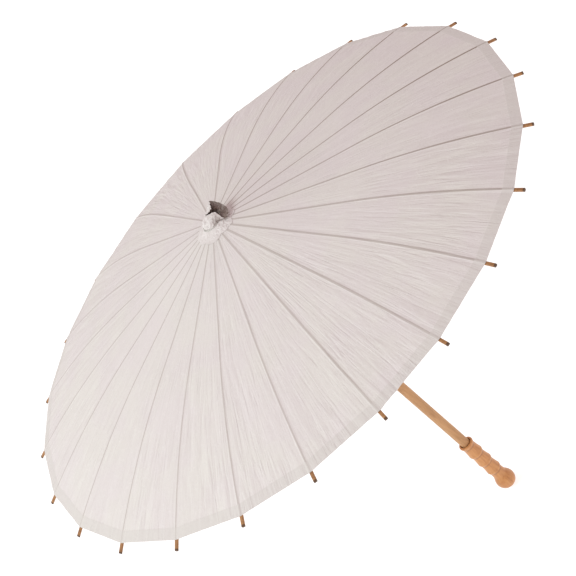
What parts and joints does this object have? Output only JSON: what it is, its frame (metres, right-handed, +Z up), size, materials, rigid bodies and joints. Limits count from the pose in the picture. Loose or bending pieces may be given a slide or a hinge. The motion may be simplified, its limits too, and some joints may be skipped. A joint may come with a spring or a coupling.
{
  "type": "oil paper umbrella",
  "caption": "Hand-held umbrella with a white paper canopy on bamboo ribs, which folds along a wooden shaft with a turned handle.",
  "frame": {"origin": "centre of the flat end of the handle's knob", "axes": "+Z up the shaft towards the canopy; the first rib points along +X"},
  "size_m": [0.8406, 0.8406, 0.6478],
  "materials": {
    "canopy_paper": "matt fibrous white paper, lightly oiled",
    "cap_paper": "crumpled matt white paper",
    "rib_bamboo": "split bamboo, unvarnished",
    "stretcher_bamboo": "pale split bamboo",
    "shaft_wood": "sanded tan wood, satin",
    "handle_wood": "turned orange-tan wood, satin varnish",
    "notch_wood": "dark stained wood",
    "runner_wood": "sanded tan wood",
    "hinge_wire": "drawn steel wire",
    "white_thread": "twisted cotton thread"
  },
  "bodies": {
    "frame": {"shaft": "shaft_wood", "handle": "handle_wood", "top_notch": "notch_wood", "notch_pin": "rib_bamboo", "notch_wire": "hinge_wire", "canopy": "canopy_paper", "cap": "cap_paper", "cap_thread": "white_thread", "joint_thread": "white_thread"},
    "rib_01": {"rib_01": "rib_bamboo"},
    "rib_02": {"rib_02": "rib_bamboo"},
    "rib_03": {"rib_03": "rib_bamboo"},
    "rib_04": {"rib_04": "rib_bamboo"},
    "rib_05": {"rib_05": "rib_bamboo"},
    "rib_06": {"rib_06": "rib_bamboo"},
    "rib_07": {"rib_07": "rib_bamboo"},
    "rib_08": {"rib_08": "rib_bamboo"},
    "rib_09": {"rib_09": "rib_bamboo"},
    "rib_10": {"rib_10": "rib_bamboo"},
    "rib_11": {"rib_11": "rib_bamboo"},
    "rib_12": {"rib_12": "rib_bamboo"},
    "rib_13": {"rib_13": "rib_bamboo"},
    "rib_14": {"rib_14": "rib_bamboo"},
    "rib_15": {"rib_15": "rib_bamboo"},
    "rib_16": {"rib_16": "rib_bamboo"},
    "rib_17": {"rib_17": "rib_bamboo"},
    "rib_18": {"rib_18": "rib_bamboo"},
    "rib_19": {"rib_19": "rib_bamboo"},
    "rib_20": {"rib_20": "rib_bamboo"},
    "rib_21": {"rib_21": "rib_bamboo"},
    "rib_22": {"rib_22": "rib_bamboo"},
    "rib_23": {"rib_23": "rib_bamboo"},
    "rib_24": {"rib_24": "rib_bamboo"},
    "stretcher_01": {"stretcher_01": "stretcher_bamboo"},
    "stretcher_02": {"stretcher_02": "stretcher_bamboo"},
    "stretcher_03": {"stretcher_03": "stretcher_bamboo"},
    "stretcher_04": {"stretcher_04": "stretcher_bamboo"},
    "stretcher_05": {"stretcher_05": "stretcher_bamboo"},
    "stretcher_06": {"stretcher_06": "stretcher_bamboo"},
    "stretcher_07": {"stretcher_07": "stretcher_bamboo"},
    "stretcher_08": {"stretcher_08": "stretcher_bamboo"},
    "stretcher_09": {"stretcher_09": "stretcher_bamboo"},
    "stretcher_10": {"stretcher_10": "stretcher_bamboo"},
    "stretcher_11": {"stretcher_11": "stretcher_bamboo"},
    "stretcher_12": {"stretcher_12": "stretcher_bamboo"},
    "stretcher_13": {"stretcher_13": "stretcher_bamboo"},
    "stretcher_14": {"stretcher_14": "stretcher_bamboo"},
    "stretcher_15": {"stretcher_15": "stretcher_bamboo"},
    "stretcher_16": {"stretcher_16": "stretcher_bamboo"},
    "stretcher_17": {"stretcher_17": "stretcher_bamboo"},
    "stretcher_18": {"stretcher_18": "stretcher_bamboo"},
    "stretcher_19": {"stretcher_19": "stretcher_bamboo"},
    "stretcher_20": {"stretcher_20": "stretcher_bamboo"},
    "stretcher_21": {"stretcher_21": "stretcher_bamboo"},
    "stretcher_22": {"stretcher_22": "stretcher_bamboo"},
    "stretcher_23": {"stretcher_23": "stretcher_bamboo"},
    "stretcher_24": {"stretcher_24": "stretcher_bamboo"},
    "runner": {"runner": "runner_wood", "runner_wire": "hinge_wire"},
    "catch": {"catch_spring": "rib_bamboo"}
  },
  "joints": [
    {"name": "canopy_fold", "type": "hinge", "parent": "frame", "child": "rib_01", "pos_m": [0.013, 0, 0.6258], "axis": [0, 1, 0], "range_deg": [0, 73], "deforming": ["canopy", "cap", "joint_thread", "catch_spring"]},
    {"name": "rib_02_fold", "type": "hinge", "parent": "frame", "child": "rib_02", "pos_m": [0.01256, 0.00336, 0.6258], "axis": [-0.2588, 0.9659, 0], "range_deg": [0, 73]},
    {"name": "rib_03_fold", "type": "hinge", "parent": "frame", "child": "rib_03", "pos_m": [0.01126, 0.0065, 0.6258], "axis": [-0.5, 0.866, 0], "range_deg": [0, 73]},
    {"name": "rib_04_fold", "type": "hinge", "parent": "frame", "child": "rib_04", "pos_m": [0.00919, 0.00919, 0.6258], "axis": [-0.7071, 0.7071, 0], "range_deg": [0, 73]},
    {"name": "rib_05_fold", "type": "hinge", "parent": "frame", "child": "rib_05", "pos_m": [0.0065, 0.01126, 0.6258], "axis": [-0.866, 0.5, 0], "range_deg": [0, 73]},
    {"name": "rib_06_fold", "type": "hinge", "parent": "frame", "child": "rib_06", "pos_m": [0.00336, 0.01256, 0.6258], "axis": [-0.9659, 0.2588, 0], "range_deg": [0, 73]},
    {"name": "rib_07_fold", "type": "hinge", "parent": "frame", "child": "rib_07", "pos_m": [0, 0.013, 0.6258], "axis": [-1, 0, 0], "range_deg": [0, 73]},
    {"name": "rib_08_fold", "type": "hinge", "parent": "frame", "child": "rib_08", "pos_m": [-0.00336, 0.01256, 0.6258], "axis": [-0.9659, -0.2588, 0], "range_deg": [0, 73]},
    {"name": "rib_09_fold", "type": "hinge", "parent": "frame", "child": "rib_09", "pos_m": [-0.0065, 0.01126, 0.6258], "axis": [-0.866, -0.5, 0], "range_deg": [0, 73]},
    {"name": "rib_10_fold", "type": "hinge", "parent": "frame", "child": "rib_10", "pos_m": [-0.00919, 0.00919, 0.6258], "axis": [-0.7071, -0.7071, 0], "range_deg": [0, 73]},
    {"name": "rib_11_fold", "type": "hinge", "parent": "frame", "child": "rib_11", "pos_m": [-0.01126, 0.0065, 0.6258], "axis": [-0.5, -0.866, 0], "range_deg": [0, 73]},
    {"name": "rib_12_fold", "type": "hinge", "parent": "frame", "child": "rib_12", "pos_m": [-0.01256, 0.00336, 0.6258], "axis": [-0.2588, -0.9659, 0], "range_deg": [0, 73]},
    {"name": "rib_13_fold", "type": "hinge", "parent": "frame", "child": "rib_13", "pos_m": [-0.013, 0, 0.6258], "axis": [0, -1, 0], "range_deg": [0, 73]},
    {"name": "rib_14_fold", "type": "hinge", "parent": "frame", "child": "rib_14", "pos_m": [-0.01256, -0.00336, 0.6258], "axis": [0.2588, -0.9659, 0], "range_deg": [0, 73]},
    {"name": "rib_15_fold", "type": "hinge", "parent": "frame", "child": "rib_15", "pos_m": [-0.01126, -0.0065, 0.6258], "axis": [0.5, -0.866, 0], "range_deg": [0, 73]},
    {"name": "rib_16_fold", "type": "hinge", "parent": "frame", "child": "rib_16", "pos_m": [-0.00919, -0.00919, 0.6258], "axis": [0.7071, -0.7071, 0], "range_deg": [0, 73]},
    {"name": "rib_17_fold", "type": "hinge", "parent": "frame", "child": "rib_17", "pos_m": [-0.0065, -0.01126, 0.6258], "axis": [0.866, -0.5, 0], "range_deg": [0, 73]},
    {"name": "rib_18_fold", "type": "hinge", "parent": "frame", "child": "rib_18", "pos_m": [-0.00336, -0.01256, 0.6258], "axis": [0.9659, -0.2588, 0], "range_deg": [0, 73]},
    {"name": "rib_19_fold", "type": "hinge", "parent": "frame", "child": "rib_19", "pos_m": [0, -0.013, 0.6258], "axis": [1, 0, 0], "range_deg": [0, 73]},
    {"name": "rib_20_fold", "type": "hinge", "parent": "frame", "child": "rib_20", "pos_m": [0.00336, -0.01256, 0.6258], "axis": [0.9659, 0.2588, 0], "range_deg": [0, 73]},
    {"name": "rib_21_fold", "type": "hinge", "parent": "frame", "child": "rib_21", "pos_m": [0.0065, -0.01126, 0.6258], "axis": [0.866, 0.5, 0], "range_deg": [0, 73]},
    {"name": "rib_22_fold", "type": "hinge", "parent": "frame", "child": "rib_22", "pos_m": [0.00919, -0.00919, 0.6258], "axis": [0.7071, 0.7071, 0], "range_deg": [0, 73]},
    {"name": "rib_23_fold", "type": "hinge", "parent": "frame", "child": "rib_23", "pos_m": [0.01126, -0.0065, 0.6258], "axis": [0.5, 0.866, 0], "range_deg": [0, 73]},
    {"name": "rib_24_fold", "type": "hinge", "parent": "frame", "child": "rib_24", "pos_m": [0.01256, -0.00336, 0.6258], "axis": [0.2588, 0.9659, 0], "range_deg": [0, 73]},
    {"name": "stretcher_01_fold", "type": "hinge", "parent": "rib_01", "child": "stretcher_01", "pos_m": [0.19885, 0, 0.5863], "axis": [0, 1, 0], "range_deg": [-146, 0]},
    {"name": "stretcher_02_fold", "type": "hinge", "parent": "rib_02", "child": "stretcher_02", "pos_m": [0.19207, 0.05147, 0.5863], "axis": [-0.2588, 0.9659, 0], "range_deg": [-146, 0]},
    {"name": "stretcher_03_fold", "type": "hinge", "parent": "rib_03", "child": "stretcher_03", "pos_m": [0.17221, 0.09942, 0.5863], "axis": [-0.5, 0.866, 0], "range_deg": [-146, 0]},
    {"name": "stretcher_04_fold", "type": "hinge", "parent": "rib_04", "child": "stretcher_04", "pos_m": [0.14061, 0.14061, 0.5863], "axis": [-0.7071, 0.7071, 0], "range_deg": [-146, 0]},
    {"name": "stretcher_05_fold", "type": "hinge", "parent": "rib_05", "child": "stretcher_05", "pos_m": [0.09942, 0.17221, 0.5863], "axis": [-0.866, 0.5, 0], "range_deg": [-146, 0]},
    {"name": "stretcher_06_fold", "type": "hinge", "parent": "rib_06", "child": "stretcher_06", "pos_m": [0.05147, 0.19207, 0.5863], "axis": [-0.9659, 0.2588, 0], "range_deg": [-146, 0]},
    {"name": "stretcher_07_fold", "type": "hinge", "parent": "rib_07", "child": "stretcher_07", "pos_m": [0, 0.19885, 0.5863], "axis": [-1, 0, 0], "range_deg": [-146, 0]},
    {"name": "stretcher_08_fold", "type": "hinge", "parent": "rib_08", "child": "stretcher_08", "pos_m": [-0.05147, 0.19207, 0.5863], "axis": [-0.9659, -0.2588, 0], "range_deg": [-146, 0]},
    {"name": "stretcher_09_fold", "type": "hinge", "parent": "rib_09", "child": "stretcher_09", "pos_m": [-0.09942, 0.17221, 0.5863], "axis": [-0.866, -0.5, 0], "range_deg": [-146, 0]},
    {"name": "stretcher_10_fold", "type": "hinge", "parent": "rib_10", "child": "stretcher_10", "pos_m": [-0.14061, 0.14061, 0.5863], "axis": [-0.7071, -0.7071, 0], "range_deg": [-146, 0]},
    {"name": "stretcher_11_fold", "type": "hinge", "parent": "rib_11", "child": "stretcher_11", "pos_m": [-0.17221, 0.09942, 0.5863], "axis": [-0.5, -0.866, 0], "range_deg": [-146, 0]},
    {"name": "stretcher_12_fold", "type": "hinge", "parent": "rib_12", "child": "stretcher_12", "pos_m": [-0.19207, 0.05147, 0.5863], "axis": [-0.2588, -0.9659, 0], "range_deg": [-146, 0]},
    {"name": "stretcher_13_fold", "type": "hinge", "parent": "rib_13", "child": "stretcher_13", "pos_m": [-0.19885, 0, 0.5863], "axis": [0, -1, 0], "range_deg": [-146, 0]},
    {"name": "stretcher_14_fold", "type": "hinge", "parent": "rib_14", "child": "stretcher_14", "pos_m": [-0.19207, -0.05147, 0.5863], "axis": [0.2588, -0.9659, 0], "range_deg": [-146, 0]},
    {"name": "stretcher_15_fold", "type": "hinge", "parent": "rib_15", "child": "stretcher_15", "pos_m": [-0.17221, -0.09942, 0.5863], "axis": [0.5, -0.866, 0], "range_deg": [-146, 0]},
    {"name": "stretcher_16_fold", "type": "hinge", "parent": "rib_16", "child": "stretcher_16", "pos_m": [-0.14061, -0.14061, 0.5863], "axis": [0.7071, -0.7071, 0], "range_deg": [-146, 0]},
    {"name": "stretcher_17_fold", "type": "hinge", "parent": "rib_17", "child": "stretcher_17", "pos_m": [-0.09942, -0.17221, 0.5863], "axis": [0.866, -0.5, 0], "range_deg": [-146, 0]},
    {"name": "stretcher_18_fold", "type": "hinge", "parent": "rib_18", "child": "stretcher_18", "pos_m": [-0.05147, -0.19207, 0.5863], "axis": [0.9659, -0.2588, 0], "range_deg": [-146, 0]},
    {"name": "stretcher_19_fold", "type": "hinge", "parent": "rib_19", "child": "stretcher_19", "pos_m": [0, -0.19885, 0.5863], "axis": [1, 0, 0], "range_deg": [-146, 0]},
    {"name": "stretcher_20_fold", "type": "hinge", "parent": "rib_20", "child": "stretcher_20", "pos_m": [0.05147, -0.19207, 0.5863], "axis": [0.9659, 0.2588, 0], "range_deg": [-146, 0]},
    {"name": "stretcher_21_fold", "type": "hinge", "parent": "rib_21", "child": "stretcher_21", "pos_m": [0.09942, -0.17221, 0.5863], "axis": [0.866, 0.5, 0], "range_deg": [-146, 0]},
    {"name": "stretcher_22_fold", "type": "hinge", "parent": "rib_22", "child": "stretcher_22", "pos_m": [0.14061, -0.14061, 0.5863], "axis": [0.7071, 0.7071, 0], "range_deg": [-146, 0]},
    {"name": "stretcher_23_fold", "type": "hinge", "parent": "rib_23", "child": "stretcher_23", "pos_m": [0.17221, -0.09942, 0.5863], "axis": [0.5, 0.866, 0], "range_deg": [-146, 0]},
    {"name": "stretcher_24_fold", "type": "hinge", "parent": "rib_24", "child": "stretcher_24", "pos_m": [0.19207, -0.05147, 0.5863], "axis": [0.2588, 0.9659, 0], "range_deg": [-146, 0]},
    {"name": "runner_fold", "type": "hinge", "parent": "stretcher_01", "child": "runner", "pos_m": [0.013, 0, 0.54679], "axis": [0, 1, 0], "range_deg": [0, 73]},
    {"name": "catch_press", "type": "hinge", "parent": "frame", "child": "catch", "pos_m": [0.0023, 0, 0.46329], "axis": [0, -1, 0], "range_deg": [0, 5.6], "stiffness_Nm_per_rad": 0.5}
  ],
  "couplings": [
    {"joint": "rib_02_fold", "follows": "canopy_fold", "ratio": 1},
    {"joint": "rib_03_fold", "follows": "canopy_fold", "ratio": 1},
    {"joint": "rib_04_fold", "follows": "canopy_fold", "ratio": 1},
    {"joint": "rib_05_fold", "follows": "canopy_fold", "ratio": 1},
    {"joint": "rib_06_fold", "follows": "canopy_fold", "ratio": 1},
    {"joint": "rib_07_fold", "follows": "canopy_fold", "ratio": 1},
    {"joint": "rib_08_fold", "follows": "canopy_fold", "ratio": 1},
    {"joint": "rib_09_fold", "follows": "canopy_fold", "ratio": 1},
    {"joint": "rib_10_fold", "follows": "canopy_fold", "ratio": 1},
    {"joint": "rib_11_fold", "follows": "canopy_fold", "ratio": 1},
    {"joint": "rib_12_fold", "follows": "canopy_fold", "ratio": 1},
    {"joint": "rib_13_fold", "follows": "canopy_fold", "ratio": 1},
    {"joint": "rib_14_fold", "follows": "canopy_fold", "ratio": 1},
    {"joint": "rib_15_fold", "follows": "canopy_fold", "ratio": 1},
    {"joint": "rib_16_fold", "follows": "canopy_fold", "ratio": 1},
    {"joint": "rib_17_fold", "follows": "canopy_fold", "ratio": 1},
    {"joint": "rib_18_fold", "follows": "canopy_fold", "ratio": 1},
    {"joint": "rib_19_fold", "follows": "canopy_fold", "ratio": 1},
    {"joint": "rib_20_fold", "follows": "canopy_fold", "ratio": 1},
    {"joint": "rib_21_fold", "follows": "canopy_fold", "ratio": 1},
    {"joint": "rib_22_fold", "follows": "canopy_fold", "ratio": 1},
    {"joint": "rib_23_fold", "follows": "canopy_fold", "ratio": 1},
    {"joint": "rib_24_fold", "follows": "canopy_fold", "ratio": 1},
    {"joint": "stretcher_01_fold", "follows": "canopy_fold", "ratio": -2},
    {"joint": "stretcher_02_fold", "follows": "canopy_fold", "ratio": -2},
    {"joint": "stretcher_03_fold", "follows": "canopy_fold", "ratio": -2},
    {"joint": "stretcher_04_fold", "follows": "canopy_fold", "ratio": -2},
    {"joint": "stretcher_05_fold", "follows": "canopy_fold", "ratio": -2},
    {"joint": "stretcher_06_fold", "follows": "canopy_fold", "ratio": -2},
    {"joint": "stretcher_07_fold", "follows": "canopy_fold", "ratio": -2},
    {"joint": "stretcher_08_fold", "follows": "canopy_fold", "ratio": -2},
    {"joint": "stretcher_09_fold", "follows": "canopy_fold", "ratio": -2},
    {"joint": "stretcher_10_fold", "follows": "canopy_fold", "ratio": -2},
    {"joint": "stretcher_11_fold", "follows": "canopy_fold", "ratio": -2},
    {"joint": "stretcher_12_fold", "follows": "canopy_fold", "ratio": -2},
    {"joint": "stretcher_13_fold", "follows": "canopy_fold", "ratio": -2},
    {"joint": "stretcher_14_fold", "follows": "canopy_fold", "ratio": -2},
    {"joint": "stretcher_15_fold", "follows": "canopy_fold", "ratio": -2},
    {"joint": "stretcher_16_fold", "follows": "canopy_fold", "ratio": -2},
    {"joint": "stretcher_17_fold", "follows": "canopy_fold", "ratio": -2},
    {"joint": "stretcher_18_fold", "follows": "canopy_fold", "ratio": -2},
    {"joint": "stretcher_19_fold", "follows": "canopy_fold", "ratio": -2},
    {"joint": "stretcher_20_fold", "follows": "canopy_fold", "ratio": -2},
    {"joint": "stretcher_21_fold", "follows": "canopy_fold", "ratio": -2},
    {"joint": "stretcher_22_fold", "follows": "canopy_fold", "ratio": -2},
    {"joint": "stretcher_23_fold", "follows": "canopy_fold", "ratio": -2},
    {"joint": "stretcher_24_fold", "follows": "canopy_fold", "ratio": -2},
    {"joint": "runner_fold", "follows": "canopy_fold", "ratio": 1}
  ]
}
